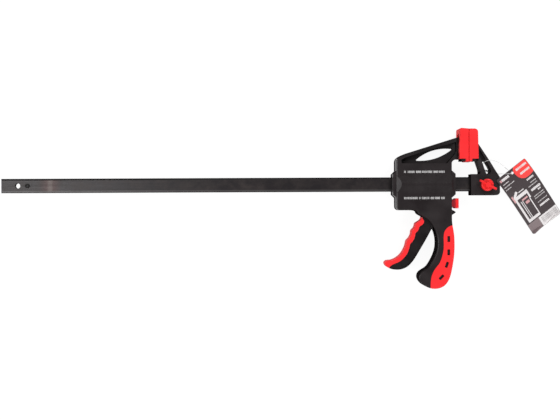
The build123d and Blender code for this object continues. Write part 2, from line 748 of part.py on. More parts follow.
# ---- fixed jaw ----------------------------------------------------------------------------------
with BuildPart() as fixed_jaw:
    with BuildSketch(SIDE):
        with BuildLine():
            Polyline(
                (13.1, 31.0), (11.3, 31.0), (13.0, 25.8), (15.0, 19.9), (15.5, 16.5),
                (15.5, jaw_top), (jaw_left, jaw_top), (jaw_left, jaw_bottom + 0.8),
                (jaw_left + 0.8, jaw_bottom), (jaw_right - 5.0, jaw_bottom),
            )
            ThreePointArc(
                (jaw_right - 5.0, jaw_bottom), (jaw_right - 1.3, jaw_bottom + 1.6),
                (jaw_right, jaw_bottom + 6.0),
            )
            Polyline(
                (jaw_right, jaw_bottom + 6.0), (jaw_right, 9.1), (38.6, 13.8), (34.7, 19.8),
                (28.0, 31.0), (13.1, 53.6), (13.1, 31.0),
            )
        make_face()
    extrude(amount=jaw_half, both=True)
    sides = fixed_jaw.faces().sort_by(Axis.Z)
    rounded = [
        edge for edge in sides[0].edges() + sides[-1].edges()
        if edge.center().X > SIDE.from_local_coords(Vector(17.0, 0, 0)).X
    ]
    fillet(rounded, 1.0)
    with BuildSketch(SIDE):
        with Locations((pad_face + pad_fit, tip_plate_bottom)):
            Rectangle(
                tip_plate_thickness, tip_plate_top - tip_plate_bottom, align=(Align.MIN, Align.MIN)
            )
    extrude(amount=tip_plate_half, both=True)
    with BuildSketch(SIDE):
        Polygon(
            (pad_face + 1, 31.0), (13.6, 31.0), (13.6, 52.8), (12.5, 54.5), (pad_face + 1, 54.5),
            align=None,
        )
    extrude(amount=neck_half, both=True)
    # recess of the arm on both sides, and the slit that the loop of the tag goes through
    for side in (1, -1):
        with BuildSketch(SIDE.offset(side * jaw_web)):
            Polygon(
                (14.2, 47.2), (24.2, 30.2), (29.4, 20.0), (29.7, 16.8), (28.7, 13.6), (23.6, 13.6),
                (21.2, 19.2), (17.3, 30.0), (14.2, 38.0), align=None,
            )
        extrude(amount=side * jaw_half, mode=Mode.SUBTRACT)
    with BuildSketch(SIDE):
        Polygon(
            (19.2, 29.9), (23.0, 19.0), (25.0, 13.6), (28.0, 13.6), (28.7, 17.0), (28.4, 19.4),
            (22.2, 29.9), align=None,
        )
        fillet(vertices(), 0.3)
    extrude(amount=jaw_half, both=True, mode=Mode.SUBTRACT)
    # socket of the bar, hole of the stud and seat of the nut
    with BuildSketch(across(jaw_left - 1)):
        Rectangle(bar_height + 2 * socket_clearance, bar_thickness + 2 * socket_clearance)
    extrude(amount=jaw_right - jaw_left + 2, mode=Mode.SUBTRACT)
    with BuildSketch(SIDE):
        with Locations((screw_x, screw_y)):
            Circle(stud_radius + socket_clearance)
    extrude(amount=jaw_half, both=True, mode=Mode.SUBTRACT)
    with BuildSketch(SIDE.offset(-jaw_half)):
        with Locations((screw_x, screw_y)):
            RegularPolygon(nut_across / 2, 6, major_radius=False)
    extrude(amount=nut_height, mode=Mode.SUBTRACT)
fixed_jaw.part.label = "fixed_jaw"
export_step(fixed_jaw.part, "parts/fixed_jaw.step")

with BuildPart() as jaw_nut:
    with BuildSketch(SIDE.offset(-jaw_half)):
        with Locations((screw_x, screw_y)):
            RegularPolygon(nut_across / 2, 6, major_radius=False)
            Circle(stud_radius + stud_clearance, mode=Mode.SUBTRACT)
    extrude(amount=nut_height)
jaw_nut.part.label = "jaw_nut"
export_step(jaw_nut.part, "parts/jaw_nut.step")

# ---- wing knob and its stud ---------------------------------------------------------------------
stud_bottom = -jaw_half + 0.5
stud_top = jaw_half + knob_gap + 2.5
with BuildPart() as wing_stud:
    with BuildSketch(SIDE.offset(stud_bottom)):
        with Locations((screw_x, screw_y)):
            Circle(stud_radius)
    extrude(amount=stud_top - stud_bottom)
    chamfer(wing_stud.faces().sort_by(Axis.Z)[0].edges(), 0.5)
wing_stud.part.label = "wing_stud"
export_step(wing_stud.part, "parts/wing_stud.step")

turned = radians(wing_turn)
WINGS = Plane(
    origin=SIDE.from_local_coords(Vector(screw_x, screw_y, 0)),
    x_dir=(cos(turned), sin(turned), 0), z_dir=(sin(turned), -cos(turned), 0),
)
with BuildPart() as wing_knob:
    with BuildSketch(SIDE.offset(jaw_half + knob_gap)):
        with Locations((screw_x, screw_y)):
            Circle(knob_radius)
    extrude(amount=knob_height)
    fillet(wing_knob.faces().sort_by(Axis.Z)[-1].edges(), 1.0)
    with BuildSketch(SIDE.offset(jaw_half + knob_gap)):
        with Locations((screw_x, screw_y)):
            Circle(knob_hub)
    extrude(amount=wing_high - 1.6 - jaw_half - knob_gap, taper=8)
    with BuildSketch(WINGS):
        with BuildLine():
            Polyline(
                (0, wing_low - 2), (knob_radius - 1, wing_low - 0.6), (wing_span / 2 - 2, wing_low),
                (wing_span / 2, wing_low + 2), (wing_span / 2, wing_high - 1.6),
                (wing_span / 2 - 1.6, wing_high), (knob_radius + 0.5, wing_high),
                (knob_hub - 0.6, wing_high - 2.2), (0, wing_high - 2.2),
            )
            mirror(about=Plane.YZ)
        make_face()
    extrude(amount=wing_thickness / 2, both=True)
    with BuildSketch(SIDE):
        with Locations((screw_x, screw_y)):
            Circle(stud_radius)
    extrude(amount=stud_top, mode=Mode.SUBTRACT)
wing_knob.part.label = "wing_knob"
export_step(wing_knob.part, "parts/wing_knob.step")

# ---- tag, its loop and the sleeve that closes the loop ------------------------------------------
tag_angle = radians(tag_turn)
tag_drop = tag_corner[2] + barrel_half - tag_low
TAG = Plane(
    origin=SIDE.from_local_coords(Vector(*tag_corner)),
    x_dir=(sin(tag_angle), -cos(tag_angle), 0), z_dir=(-cos(tag_angle), -sin(tag_angle), 0),
)
tag_line = ((0, 0), (12, -0.4), (28, -3.4), (48, -9.4), (70, -16.8), (91.5, -tag_drop))
with BuildPart() as tag_card:
    with BuildSketch(TAG):
        with BuildLine():
            Spline(*tag_line)
            Line(tag_line[-1], (tag_line[-1][0], tag_line[-1][1] + tag_thickness))
            Spline(*[(along, drop + tag_thickness) for along, drop in tag_line])
            Line((0, tag_thickness), (0, 0))
        make_face()
    extrude(amount=-tag_width)
    chamfer(tag_card.edges().filter_by(Axis.Z), tag_round)
    with BuildSketch(Plane(TAG.origin, x_dir=(cos(tag_angle), sin(tag_angle), 0), z_dir=(0, 0, 1))):
        with Locations((tag_hole_place[0], -tag_hole_place[1])):
            Circle(tag_hole)
    extrude(amount=2, both=True, mode=Mode.SUBTRACT)
tag_card.part.label = "tag_card"
export_step(tag_card.part, "parts/tag_card.step")

lock_place = (29.5, 18.0, -10.6)
lock_way = (0.936, -0.351, 0)
loop_route = (
    (29.5, 18.0, -10.6), (36.0, 15.56, -10.6), (42.0, 14.2, -9.6), (44.2, 13.6, -4.2),
    (44.2, 13.5, 2.6), (44.4, 13.4, 9.4), (48.0, 12.9, 13.4), (52.8, 13.2, 14.0),
    (56.4, 14.0, 11.9), (57.2, 14.9, 7.8), (55.2, 17.0, 4.9), (51.0, 20.4, 4.0),
    (46.0, 24.6, 5.6), (39.8, 28.4, 8.2), (33.0, 30.9, 10.2), (26.6, 31.4, 10.6),
    (22.4, 30.2, 8.2), (21.2, 28.3, 3.6), (21.3, 27.2, -2.0), (21.4, 25.6, -7.6),
    (22.2, 22.4, -10.6), (25.2, 19.61, -10.6), (29.4, 18.04, -10.6),
)


def bend_radii(points):
    """Radius of each arc between two runs, so that it takes 45 % of the shorter one."""
    radii = []
    for before, here, after in zip(points, points[1:], points[2:]):
        first = Vector(*here) - Vector(*before)
        second = Vector(*after) - Vector(*here)
        half_turn = radians(first.get_angle(second)) / 2
        radii.append(0.45 * min(first.length, second.length) / tan(half_turn))
    return radii


loop_radii = bend_radii(loop_route)
print("loop's bend radii:", [round(radius, 1) for radius in loop_radii])
with BuildPart() as tag_loop:
    with BuildLine():
        loop_line = FilletPolyline(
            *[SIDE.from_local_coords(Vector(*point)) for point in loop_route], radius=loop_radii
        )
    with BuildSketch(Plane(origin=loop_line @ 0, z_dir=loop_line % 0)):
        Circle(loop_radius)
    sweep(path=loop_line)
tag_loop.part.label = "tag_loop"
export_step(tag_loop.part, "parts/tag_loop.step")
print("loop's length:", round(loop_line.length, 1), "mm, volume of the tube",
      round(tag_loop.part.volume, 2), "and of its section times its length",
      round(pi * loop_radius**2 * loop_line.length, 2))

with BuildPart() as loop_lock:
    with BuildSketch(Plane(
        origin=SIDE.from_local_coords(Vector(*lock_place) - Vector(*lock_way) * (lock_length / 2)),
        z_dir=lock_way,
    )):
        Circle(lock_radius)
        Circle(loop_radius, mode=Mode.SUBTRACT)
    extrude(amount=lock_length)
loop_lock.part.label = "loop_lock"
export_step(loop_lock.part, "parts/loop_lock.step")
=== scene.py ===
"""Looks of the one-hand bar clamp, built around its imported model. All sizes are in metres."""

import json
from math import cos, pi, radians, sin

import bmesh
import bpy
from mathutils import Matrix, Vector, geometry
from mathutils.bvhtree import BVHTree

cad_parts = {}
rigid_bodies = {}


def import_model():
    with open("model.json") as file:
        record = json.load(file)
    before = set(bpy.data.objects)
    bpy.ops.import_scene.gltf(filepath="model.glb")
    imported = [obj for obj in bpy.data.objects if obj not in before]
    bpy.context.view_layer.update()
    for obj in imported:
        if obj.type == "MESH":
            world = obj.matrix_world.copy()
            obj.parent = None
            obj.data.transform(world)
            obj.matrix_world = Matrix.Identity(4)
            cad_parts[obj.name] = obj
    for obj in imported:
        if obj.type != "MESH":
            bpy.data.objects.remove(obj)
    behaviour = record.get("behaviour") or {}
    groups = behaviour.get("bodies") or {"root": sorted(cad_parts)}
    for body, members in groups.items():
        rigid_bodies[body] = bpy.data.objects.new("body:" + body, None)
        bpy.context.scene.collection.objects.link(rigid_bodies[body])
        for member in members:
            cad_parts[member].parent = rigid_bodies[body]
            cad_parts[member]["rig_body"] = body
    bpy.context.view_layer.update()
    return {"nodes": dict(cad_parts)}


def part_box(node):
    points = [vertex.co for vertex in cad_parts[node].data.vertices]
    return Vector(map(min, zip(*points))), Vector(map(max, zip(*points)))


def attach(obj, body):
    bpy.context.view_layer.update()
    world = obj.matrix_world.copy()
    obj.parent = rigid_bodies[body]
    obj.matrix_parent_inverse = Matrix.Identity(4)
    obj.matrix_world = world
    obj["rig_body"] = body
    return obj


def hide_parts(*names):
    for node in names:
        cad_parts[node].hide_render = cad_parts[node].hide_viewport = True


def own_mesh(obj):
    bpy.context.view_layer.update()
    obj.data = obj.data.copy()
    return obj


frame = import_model()
nodes = frame["nodes"]
MM = 0.001

# ---- datum: the plane where the pads meet, the bar's axis and the middle of its thickness -------
FREE_END_TO_DATUM = 620.4 * MM
bar_low, bar_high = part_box("bar")
DATUM = Vector((
    bar_low.x + FREE_END_TO_DATUM, (bar_low.y + bar_high.y) / 2, (bar_low.z + bar_high.z) / 2
))


def at(x, y, z=0.0):
    """Point given in millimetres from the clamp's datum."""
    return DATUM + Vector((x, y, z)) * MM


def show(made):
    """Puts an object into the scene."""
    bpy.context.scene.collection.objects.link(made)
    return made


# ---- camera -------------------------------------------------------------------------------------
LENS = 50.14                                # millimetres, on a film 36 mm wide
CAMERA_PLACE = (-249.8, -33.33, 1040.0)     # millimetres from the datum
CAMERA_ROLL = radians(-0.232)
camera_data = bpy.data.cameras.new("camera")
camera_data.lens = LENS
camera_data.sensor_width = 36.0
camera_data.clip_start = 0.05
camera_data.clip_end = 20.0
camera = show(bpy.data.objects.new("camera", camera_data))
camera.location = at(*CAMERA_PLACE)
camera.rotation_euler = (0.0, 0.0, CAMERA_ROLL)
bpy.context.scene.camera = camera

# ---- node helpers -------------------------------------------------------------------------------
COLOUR, VALUE, VECTOR = "NodeSocketColor", "NodeSocketFloat", "NodeSocketVector"
INTEGER, MATERIAL = "NodeSocketInt", "NodeSocketMaterial"
DARK = (0.0, 0.0, 0.0, 1.0)


class Nodes:
    """Short names for the nodes and links of one node tree."""

    def __init__(self, tree):
        self.tree = tree

    def link(self, source, target):
        self.tree.links.new(source, target)

    def feed(self, socket, value):
        """Links another node's output to a socket, or sets the socket's plain value."""
        if isinstance(value, bpy.types.NodeSocket):
            self.link(value, socket)
        else:
            socket.default_value = value

    def node(self, kind, settings=None, **inputs):
        """New node with these settings and inputs; an underscore stands for a space."""
        made = self.tree.nodes.new(kind)
        for key, value in (settings or {}).items():
            setattr(made, key, value)
        for key, value in inputs.items():
            self.feed(made.inputs[key.replace("_", " ")], value)
        return made

    def maths(self, operation, first, second=0.0):
        made = self.node("ShaderNodeMath", {"operation": operation})
        for socket, value in zip(made.inputs, (first, second)):
            self.feed(socket, value)
        return made.outputs[0]

    def noise(self, vector, scale, detail=3.0, roughness=0.5):
        made = self.node(
            "ShaderNodeTexNoise", Vector=vector, Scale=scale, Detail=detail, Roughness=roughness
        )
        return made.outputs["Fac"]

    def ramp(self, factor, low, high):
        """Grey ramp between two stops, each a place and a level."""
        made = self.node("ShaderNodeValToRGB", Fac=factor)
        for element, (place, level) in zip(made.color_ramp.elements, (low, high)):
            element.position = place
            element.color = (level, level, level, 1.0)
        return made.outputs["Color"]

    def mix(self, factor, first, second):
        """Mix of two colours, which are the node's inputs 6 and 7 and its output 2."""
        made = self.node("ShaderNodeMix", {"data_type": "RGBA"})
        for index, value in ((0, factor), (6, first), (7, second)):
            self.feed(made.inputs[index], value)
        return made.outputs[2]


def add_inputs(tree, inputs):
    """Adds named inputs to a node tree and returns their identifiers by name."""
    identifiers = {}
    for label, kind, value in inputs:
        socket = tree.interface.new_socket(label, in_out="INPUT", socket_type=kind)
        if value is not None:
            socket.default_value = value
        identifiers[label] = socket.identifier
    return identifiers


def surface_group(name, inputs):
    """New shader group, its helper, the sockets that bring its inputs and those of its outputs."""
    made = bpy.data.node_groups.new(name, "ShaderNodeTree")
    add_inputs(made, inputs)
    for label, kind in (("Colour", COLOUR), ("Roughness", VALUE), ("Normal", VECTOR)):
        made.interface.new_socket(label, in_out="OUTPUT", socket_type=kind)
    start = made.nodes.new("NodeGroupInput")
    end = made.nodes.new("NodeGroupOutput")
    return made, Nodes(made), start.outputs, end.inputs


# ---- surfaces -----------------------------------------------------------------------------------
# Moulded surface: cloudy colour and gloss, fine spark-eroded grain, a few long faint scuffs. Its
# colour darkens towards +Y by a share from a height on: painted shade.
PAINTED_SHADE_PER_METRE = 170.0                      # complete about 6 mm on
GRAIN_HEIGHT = 0.06 * MM
moulded, t, start, end = surface_group("moulded_surface", [
    ("Colour", COLOUR, (0.03, 0.03, 0.03, 1)), ("Cloud", VALUE, 0.15), ("Roughness", VALUE, 0.5),
    ("Spread", VALUE, 0.12), ("Grain Scale", VALUE, 1600.0), ("Grain Depth", VALUE, 0.25),
    ("Scuffs", VALUE, 0.4), ("Fade From", VALUE, 1.0), ("Fade", VALUE, 0.0),
])
place = t.node("ShaderNodeTexCoord").outputs["Object"]
axes = t.node("ShaderNodeSeparateXYZ", Vector=place)
beyond = t.maths("SUBTRACT", axes.outputs["Y"], start["Fade From"])
beyond = t.ramp(t.maths("MULTIPLY", beyond, PAINTED_SHADE_PER_METRE), (0.0, 0.0), (1.0, 1.0))
base = t.mix(t.maths("MULTIPLY", beyond, start["Fade"]), start["Colour"], DARK)
cloud = t.ramp(t.noise(place, 34.0, 4.0, 0.6), (0.3, 0.0), (0.7, 1.0))
dark = t.mix(start["Cloud"], base, DARK)
light = t.mix(start["Cloud"], base, (0.5, 0.46, 0.46, 1.0))
clouded = t.mix(cloud, dark, t.mix(0.12, base, light))
stretched = t.node(
    "ShaderNodeMapping", Vector=place, Scale=(60.0, 900.0, 400.0), Rotation=(0.0, 0.0, 0.5)
)
scuff = t.ramp(t.noise(stretched.outputs[0], 1.0, 2.0), (0.64, 0.0), (0.72, 1.0))
scuff = t.maths("MULTIPLY", scuff, start["Scuffs"])
scuff = t.maths("MULTIPLY", scuff, t.ramp(t.noise(place, 22.0), (0.5, 0.0), (0.66, 1.0)))
t.link(t.mix(scuff, clouded, (0.22, 0.2, 0.2, 1.0)), end["Colour"])
wander = t.maths("SUBTRACT", t.noise(place, 70.0), 0.5)
wander = t.maths("MULTIPLY", t.maths("MULTIPLY", wander, start["Spread"]), 2.0)
rough = t.maths("ADD", start["Roughness"], wander)
t.link(t.maths("ADD", rough, t.maths("MULTIPLY", scuff, 0.15)), end["Roughness"])
grain = t.noise(place, start["Grain Scale"], 2.0)
bump = t.node(
    "ShaderNodeBump", Strength=start["Grain Depth"], Distance=GRAIN_HEIGHT, Height=grain
)
t.link(bump.outputs[0], end["Normal"])

# Metal surface: drawn or ground lines along one direction, and a cloudy stain over them. The bar
# alone has bands: a warm lighter stain and painted reflection across it near its free end, a
# painted highlight line along its lower edge and a painted shadow along its upper edge.
LINE_HEIGHT = 0.04 * MM
NOWHERE = 9.0                               # metres away from every piece
metal, t, start, end = surface_group("drawn_metal", [
    ("Colour", COLOUR, (0.4, 0.4, 0.4, 1)), ("Stain", COLOUR, (0.2, 0.17, 0.15, 1)),
    ("Stain Amount", VALUE, 0.3), ("Roughness", VALUE, 0.35),
    ("Line Scale", VECTOR, (20, 2500, 2500)), ("Line Depth", VALUE, 0.2),
    ("Heat At", VALUE, NOWHERE), ("Rub At", VALUE, NOWHERE), ("Shade At", VALUE, NOWHERE),
])
place = t.node("ShaderNodeTexCoord").outputs["Object"]
axes = t.node("ShaderNodeSeparateXYZ", Vector=place)


def band(axis, middle, half):
    """1 at the middle of a band across the part and 0 outside it; half its width in mm."""
    away = t.maths("ABSOLUTE", t.maths("SUBTRACT", axes.outputs[axis], start[middle]))
    return t.ramp(t.maths("DIVIDE", away, half * MM), (0.35, 1.0), (1.0, 0.0))


lines = t.node("ShaderNodeMapping", Vector=place, Scale=start["Line Scale"])
line = t.noise(lines.outputs[0], 1.0, 3.0, 0.6)
spots = t.ramp(t.noise(place, 55.0, 5.0, 0.65), (0.42, 0.0), (0.7, 1.0))
# painted shadow along the bar's upper edge, which is also made rougher
shade_band = band("Y", "Shade At", 1.7)
stained = t.mix(t.maths("MULTIPLY", spots, start["Stain Amount"]), start["Colour"], start["Stain"])
# the warm lighter bands near the free end are stain and painted reflection; the others are a painted
# highlight line and a painted shadow
for mask, share, tint in (
    (band("X", "Heat At", 15.0), 0.75, (0.056, 0.028, 0.026, 1)),
    (band("X", "Heat At", 4.5), 0.6, (0.11, 0.088, 0.082, 1)),
    (band("Y", "Rub At", 1.4), 0.6, (0.09, 0.084, 0.086, 1)),
    (shade_band, 0.9, (0.001, 0.001, 0.001, 1)),
):
    stained = t.mix(t.maths("MULTIPLY", mask, share), stained, tint)
t.link(t.mix(t.ramp(line, (0.35, 0.0), (0.75, 0.35)), stained, DARK), end["Colour"])
rough = t.maths("MULTIPLY", t.maths("SUBTRACT", line, 0.5), 0.25)
rough = t.maths("ADD", start["Roughness"], rough)
rough = t.maths("ADD", rough, t.maths("MULTIPLY", shade_band, 0.5))
t.link(t.maths("ADD", rough, t.maths("MULTIPLY", spots, 0.08)), end["Roughness"])
bump = t.node("ShaderNodeBump", Strength=start["Line Depth"], Distance=LINE_HEIGHT, Height=line)
t.link(bump.outputs[0], end["Normal"])


# ---- materials ----------------------------------------------------------------------------------
def material(name, shared, values, **shader):
    """Material with one shared group behind its shader, and constants on the shader itself."""
    made = bpy.data.materials.new(name)
    made.use_nodes = True
    tree = Nodes(made.node_tree)
    principled = made.node_tree.nodes["Principled BSDF"]
    for key, value in shader.items():
        principled.inputs[key.replace("_", " ")].default_value = value
    effect = tree.node("ShaderNodeGroup", {"node_tree": shared})
    for key, value in values.items():
        effect.inputs[key].default_value = value
    tree.link(effect.outputs["Colour"], principled.inputs["Base Color"])
    tree.link(effect.outputs["Roughness"], principled.inputs["Roughness"])
    tree.link(effect.outputs["Normal"], principled.inputs["Normal"])
    return made


def moulding(name, kind, colour, specular=0.5, changes=None, **shader):
    """Moulded finish: the values of its kind, with a colour and changes of its own."""
    values = dict(kind, Colour=(*colour, 1), **(changes or {}))
    return material(name, moulded, values, Specular_IOR_Level=specular, **shader)


def steel(name, colour, stain, amount, roughness, lines, depth, bands=None, **shader):
    """Metal finish with its stain, lines of this scale and depth, and the places of any bands."""
    values = {
        "Colour": (*colour, 1), "Stain": (*stain, 1), "Stain Amount": amount,
        "Roughness": roughness, "Line Scale": lines, "Line Depth": depth, **(bands or {}),
    }
    return material(name, metal, values, **shader)


# the nylon darkens towards the arms' ends from this height on: painted shade
NYLON = {
    "Cloud": 0.18, "Roughness": 0.36, "Spread": 0.08, "Grain Scale": 1500.0, "Grain Depth": 0.25,
    "Scuffs": 0.06, "Fade From": at(0, 33.5).y, "Fade": 0.5,
}
black_nylon = moulding("black_nylon", NYLON, (0.0125, 0.0088, 0.0097), 0.25)
# lighter, glossier copy for broken edges: painted highlight
black_edge_highlight = moulding(
    "black_edge_highlight", NYLON, (0.06, 0.055, 0.056), 0.15, {"Roughness": 0.4, "Scuffs": 0.0}
)
# darker matte copy for steep sides: painted shade
black_shaded_side = moulding(
    "black_shaded_side", NYLON, (0.0075, 0.0055, 0.006), 0.0, {"Roughness": 0.8, "Scuffs": 0.0}
)
# lighter matte copy without a highlight for sloping faces: painted light
black_lit_slope = moulding(
    "black_lit_slope", NYLON, (0.0215, 0.018, 0.0188), 0.03, {"Roughness": 0.7, "Scuffs": 0.0}
)
black_jaw = moulding("black_jaw", NYLON, (0.0155, 0.0115, 0.0125), 0.25, {"Fade": 0.0})
black_lever = moulding("black_lever", NYLON, (0.0075, 0.0055, 0.0062), 0.14)

RUBBER = {
    "Cloud": 0.1, "Roughness": 0.56, "Spread": 0.1, "Grain Scale": 1900.0, "Grain Depth": 0.22,
    "Scuffs": 0.06,
}
red_rubber = moulding(
    "red_rubber", RUBBER, (0.9, 0.018, 0.022), 0.2, Sheen_Weight=0.04, Sheen_Roughness=0.4
)
# lighter pink copy for steep sides: painted light
red_rubber_lit_side = moulding(
    "red_rubber_lit_side", RUBBER, (0.97, 0.1, 0.105), 0.1, {"Roughness": 0.75, "Scuffs": 0.0}
)

PLASTIC = {
    "Cloud": 0.08, "Roughness": 0.34, "Spread": 0.06, "Grain Scale": 900.0, "Grain Depth": 0.12,
    "Scuffs": 0.05,
}
red_plastic = moulding("red_plastic", PLASTIC, (0.86, 0.018, 0.02), 0.4)
# darker copy for steep sides and the button's stem: painted shade
red_plastic_shaded_side = moulding(
    "red_plastic_shaded_side", PLASTIC, (0.36, 0.02, 0.028), 0.05, {"Roughness": 0.6, "Scuffs": 0.0}
)

BAR_LINES = (14, 2200, 2200)
# places of the bar's bands: warm stain with painted reflection, painted highlight line, painted
# shadow
BAR_BANDS = {
    "Heat At": at(-555.5, 0).x, "Rub At": bar_low.y + 1.9 * MM, "Shade At": bar_high.y - 0.9 * MM
}
bar_steel = steel(
    "bar_steel", (0.0185, 0.0152, 0.0168), (0.048, 0.037, 0.034), 0.5, 0.34, BAR_LINES, 0.12,
    BAR_BANDS, Metallic=0.2, Specular_IOR_Level=0.34,
)
# darker matte copy for the bar's chamfers and sides: painted shade
bar_shaded_side = steel(
    "bar_shaded_side", (0.012, 0.0105, 0.011), (0.03, 0.024, 0.022), 0.4, 0.6, BAR_LINES, 0.1,
    Specular_IOR_Level=0.0,
)
dark_pin = steel(
    "dark_pin", (0.008, 0.006, 0.0065), (0.02, 0.015, 0.013), 0.4, 0.45, (700, 700, 700), 0.15,
    Specular_IOR_Level=0.12,
)
plate_steel = steel(
    "plate_steel", (0.42, 0.42, 0.43), (0.25, 0.2, 0.16), 0.35, 0.36, (900, 60, 900), 0.3,
    Metallic=1.0,
)
spring_steel = steel(
    "spring_steel", (0.3, 0.3, 0.31), (0.14, 0.12, 0.1), 0.3, 0.3, (1500, 1500, 1500), 0.15,
    Metallic=1.0,
)
zinc_steel = steel(
    "zinc_steel", (0.56, 0.57, 0.58), (0.36, 0.35, 0.3), 0.4, 0.3, (400, 400, 1800), 0.2,
    Metallic=1.0,
)
bright_pin = steel(
    "bright_pin", (0.62, 0.6, 0.58), (0.4, 0.35, 0.3), 0.3, 0.28, (600, 600, 600), 0.15,
    Metallic=1.0,
)

PRINT = {
    "Cloud": 0.06, "Roughness": 0.36, "Spread": 0.05, "Grain Scale": 1200.0, "Grain Depth": 0.06,
    "Scuffs": 0.1,
}
card_dark, card_red, card_white, card_grey, card_pink, card_ash = (
    moulding(name, PRINT, colour, Coat_Weight=0.25, Coat_Roughness=0.2)
    for name, colour in (
        ("card_dark", (0.046, 0.033, 0.036)), ("card_red", (0.92, 0.06, 0.055)),
        ("card_white", (0.74, 0.71, 0.71)), ("card_grey", (0.215, 0.165, 0.17)),
        ("card_pink", (0.62, 0.33, 0.34)), ("card_ash", (0.3, 0.28, 0.28)),
    )
)
print_white = moulding("print_white", PRINT, (0.5, 0.49, 0.49), changes={"Roughness": 0.5})

CLEAR = {
    "Cloud": 0.05, "Roughness": 0.2, "Spread": 0.05, "Grain Scale": 500.0, "Grain Depth": 0.05,
    "Scuffs": 0.0,
}
clear_nylon = moulding("clear_nylon", CLEAR, (0.8, 0.8, 0.8), IOR=1.5, Alpha=0.5)

# ---- the tag's loop -----------------------------------------------------------------------------
LOOP_RADIUS = 0.35 * MM
LOOP = (
    (29.5, 18.0, -10.6), (36.0, 15.56, -10.6), (42.0, 14.2, -9.6), (44.2, 13.6, -4.2),
    (44.2, 13.5, 2.6), (44.4, 13.4, 9.4), (48.0, 12.9, 13.4), (52.8, 13.2, 14.0),
    (56.4, 14.0, 11.9), (57.2, 14.9, 7.8), (55.2, 17.0, 4.9), (51.0, 20.4, 4.0),
    (46.0, 24.6, 5.6), (39.8, 28.4, 8.2), (33.0, 30.9, 10.2), (26.6, 31.4, 10.6),
    (22.4, 30.2, 8.2), (21.2, 28.3, 3.6), (21.3, 27.2, -2.0), (21.4, 25.6, -7.6),
    (22.2, 22.4, -10.6), (25.2, 19.61, -10.6), (29.4, 18.04, -10.6),
)
loop_curve = bpy.data.curves.new("loop", "CURVE")
loop_curve.dimensions = "3D"
loop_curve.bevel_depth = LOOP_RADIUS
loop_curve.bevel_resolution = 3
loop_curve.resolution_u = 10
spline = loop_curve.splines.new("NURBS")
spline.points.add(len(LOOP) - 1)
for point, (x, y, z) in zip(spline.points, LOOP):
    point.co = (*at(x, y, z), 1.0)
spline.order_u = 3
spline.use_endpoint_u = True
loop = show(bpy.data.objects.new("nylon_loop", loop_curve))
loop_curve.materials.append(clear_nylon)
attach(loop, "bar")
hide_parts("tag_loop")


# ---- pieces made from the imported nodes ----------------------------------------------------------
def new_object(name, mesh, finish, body):
    """Object that rides on a body; without a finish its mesh keeps the one it has."""
    made = show(bpy.data.objects.new(name, mesh))
    if finish is not None:
        mesh.materials.clear()
        mesh.materials.append(finish)
    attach(made, body)
    return made


def evaluated_mesh(made):
    """Plain mesh of an object with its modifiers applied."""
    bpy.context.view_layer.update()
    evaluated = made.evaluated_get(bpy.context.evaluated_depsgraph_get())
    return bpy.data.meshes.new_from_object(evaluated)


FACE, EDGE, SIDE, SLOPE = range(4)          # places in a piece's list of finishes
SAME_PLACE = 1e-7
SAME_PLANE = radians(0.6)
BEVEL_FROM = radians(32.0)
# edge finishes carry painted highlight; broken edges facing away from this side take the side finish
LIT_SIDE = Vector((-0.6, -0.8))             # broken edges that face away from it stay dark


def facing(normal):
    """The finish for a face that points in this direction: steep sides and sloping faces take copies
    painted darker or lighter as shade or light.
    """
    if abs(normal.z) < 0.3:
        return SIDE
    return SLOPE if abs(normal.y) > 0.12 and normal.x > -0.2 else FACE


def dress(node, name, finishes, edge, segments=2, smooth=38.0, pick=None):
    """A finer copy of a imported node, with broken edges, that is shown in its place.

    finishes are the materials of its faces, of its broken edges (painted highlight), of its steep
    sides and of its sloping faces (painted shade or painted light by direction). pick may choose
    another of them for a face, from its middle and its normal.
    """
    finishes = list(finishes) + [finishes[FACE]] * (4 - len(finishes))
    mesh = nodes[node].data.copy()
    work = bmesh.new()
    work.from_mesh(mesh)
    bmesh.ops.remove_doubles(work, verts=work.verts, dist=SAME_PLACE)
    bmesh.ops.dissolve_limit(
        work, angle_limit=SAME_PLANE, verts=work.verts, edges=work.edges, delimit=set()
    )
    work.to_mesh(mesh)
    work.free()
    made = new_object(name, mesh, finishes[FACE], nodes[node]["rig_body"])
    for finish in finishes[1:]:
        mesh.materials.append(finish)
    for face in mesh.polygons:
        picked = pick(face.center, face.normal) if pick else None
        face.material_index = facing(face.normal) if picked is None else picked
    mesh.shade_smooth()
    mesh.set_sharp_from_angle(angle=radians(smooth))
    bevel = made.modifiers.new("edges", "BEVEL")
    bevel.width = edge * MM
    bevel.segments = segments
    bevel.limit_method = "ANGLE"
    bevel.angle_limit = BEVEL_FROM
    bevel.use_clamp_overlap = True
    bevel.material = EDGE
    flats = made.modifiers.new("flats", "WEIGHTED_NORMAL")
    flats.keep_sharp = True
    plain = evaluated_mesh(made)
    made.modifiers.clear()
    made.data = plain
    for face in plain.polygons:
        # broken edges that face away from the lit side take the side finish instead of the painted
        # highlight
        flat = Vector((face.normal.x, face.normal.y))
        if face.material_index == EDGE and flat.dot(LIT_SIDE) < 0.05 * flat.length:
            face.material_index = SIDE
    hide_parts(node)


BODY_REAR = at(-85, 0).x
SHOULDER_END = at(-58, 0).x
JAW_ARM_LOW = at(0, 15).y
BUTTON_CAP_LEFT = at(-16.2, 0).x


def rear_rim(middle, normal):
    """The edge finish, a painted highlight, for the wall of the body's rear end, up to the arm's
    shoulder.
    """
    rear = middle.x < BODY_REAR or middle.x < SHOULDER_END and middle.y > DATUM.y
    return EDGE if rear and normal.x < -0.3 and abs(normal.z) < 0.9 else None


def arm_wall(middle, normal):
    """The sloping faces' finish, painted light, for the walls of the fixed jaw's arm."""
    return SLOPE if middle.y > JAW_ARM_LOW and normal.x < -0.3 else None


